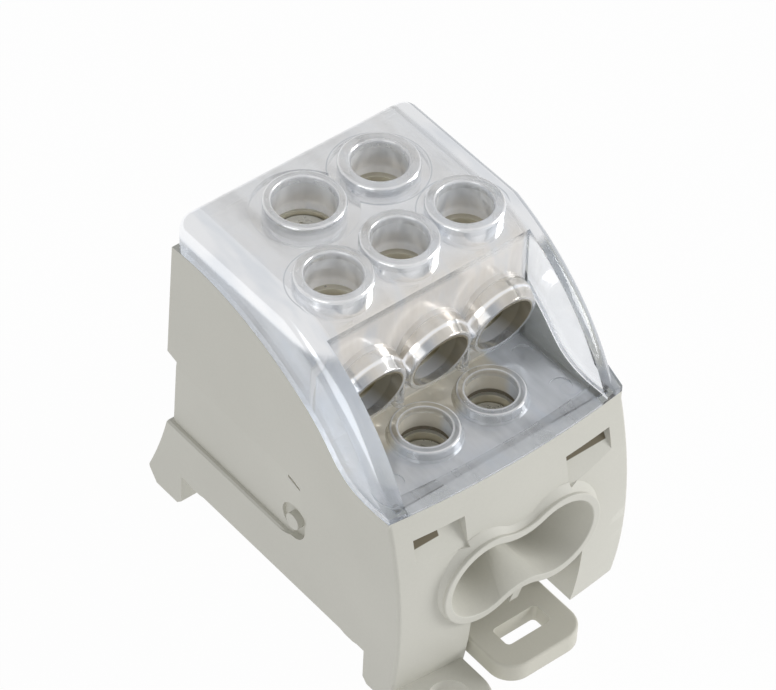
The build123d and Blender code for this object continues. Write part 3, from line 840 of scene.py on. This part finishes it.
@dataclass
class Latch:
    """The sliding rail latch."""

    def build(self) -> None:
        """Dress the latch."""
        dress("rail_latch", Finish.LATCH)


# Studio


@dataclass(frozen=True)
class Lamp:
    """A soft square lamp aimed at the block."""

    name: str
    place: Point
    size: float
    power: float
    target: Point = (0.0, 0.0, 0.025)

    def build(self) -> None:
        """Hang the lamp."""
        data = bpy.data.lights.new(self.name, "AREA")
        data.size = self.size
        data.energy = self.power
        lamp = bpy.data.objects.new(self.name, data)
        bpy.context.scene.collection.objects.link(lamp)
        lamp.location = self.place
        aim = Vector(self.target) - Vector(self.place)
        lamp.rotation_euler = aim.to_track_quat("-Z", "Y").to_euler()


@dataclass
class Studio:
    """White floor, soft lamps and the camera."""

    camera_place: Point = (-0.2669, -0.3040, 0.4416)
    camera_right: Point = (0.77470, -0.63136, 0.03482)
    camera_up: Point = (0.43074, 0.56726, 0.70191)
    camera_back: Point = (-0.46291, -0.52877, 0.71142)
    lens: float = 222.7
    sensor: float = 36.0
    nearest: float = 0.01
    farthest: float = 20.0
    floor_size: float = 6.0
    floor_drop: float = 0.0003
    floor_colour: Colour = (0.85, 0.85, 0.85, 1.0)
    floor_glow: float = 0.6
    floor_glow_seen: float = 0.975
    world_light: float = 0.46
    lamps: Sequence[Lamp] = (
        Lamp("key", (1.0, -0.66, 0.40), 0.6, 8.6),
        Lamp("fill", (-1.08, -0.36, 0.38), 0.8, 2.1),
    )

    def build(self) -> None:
        """Build the world, floor, lamps and camera."""
        self._world()
        self._floor()
        for lamp in self.lamps:
            lamp.build()
        self._camera()

    @staticmethod
    def _seen(graph: Graph, seen: float, unseen: float) -> Wire:
        """One level where the eye, a mirror or glass looks, another for plain light.

        Args:
            graph: The graph that uses the level.
            seen: The level that is looked at.
            unseen: The level as a light.

        Returns:
            The level.
        """
        return graph.rays("Camera", "Transmission", "Glossy") * (seen - unseen) + unseen

    def _world(self) -> None:
        """Bright to the eye, softer as a light."""
        world = bpy.data.worlds.new("studio")
        bpy.context.scene.world = world
        graph = Graph(world)
        level = self._seen(graph, 1.0, self.world_light)
        graph.finish(graph.add("ShaderNodeBackground", None, {"Strength": level}), "World")

    def _floor(self) -> None:
        """A white floor that keeps a faint shadow."""
        bpy.ops.object.select_all(action="DESELECT")
        bpy.ops.mesh.primitive_plane_add(size=self.floor_size,
                                         location=(0.0, 0.0, -self.floor_drop))
        floor = bpy.context.object
        floor.name = "floor"
        graph = Graph(bpy.data.materials.new("floor_white"))
        paper = graph.add("ShaderNodeBsdfDiffuse", None, {"Color": self.floor_colour})
        glow = graph.add("ShaderNodeEmission", None, {"Color": WHITE, "Strength": 1.0})
        share = self._seen(graph, self.floor_glow_seen, self.floor_glow)
        floor.data.materials.append(graph.finish(graph.mix(share, paper, glow)))

    def _camera(self) -> None:
        """The photograph's camera."""
        data = bpy.data.cameras.new("camera")
        data.sensor_width = self.sensor
        data.lens = self.lens
        data.clip_start = self.nearest
        data.clip_end = self.farthest
        camera = bpy.data.objects.new("camera", data)
        bpy.context.scene.collection.objects.link(camera)
        turn = Matrix((self.camera_right, self.camera_up, self.camera_back)).transposed()
        camera.matrix_world = Matrix.Translation(self.camera_place) @ turn.to_4x4()
        bpy.context.scene.camera = camera


def main() -> None:
    """Build the block and its studio."""
    logging.basicConfig(level=logging.INFO, format="%(name)s %(message)s")
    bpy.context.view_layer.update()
    bpy.context.scene.view_settings.view_transform = "Standard"
    for part in (Housing(), Cover(), Metalwork(), Latch(), Studio()):
        part.build()


if __name__ == "__main__":
    main()
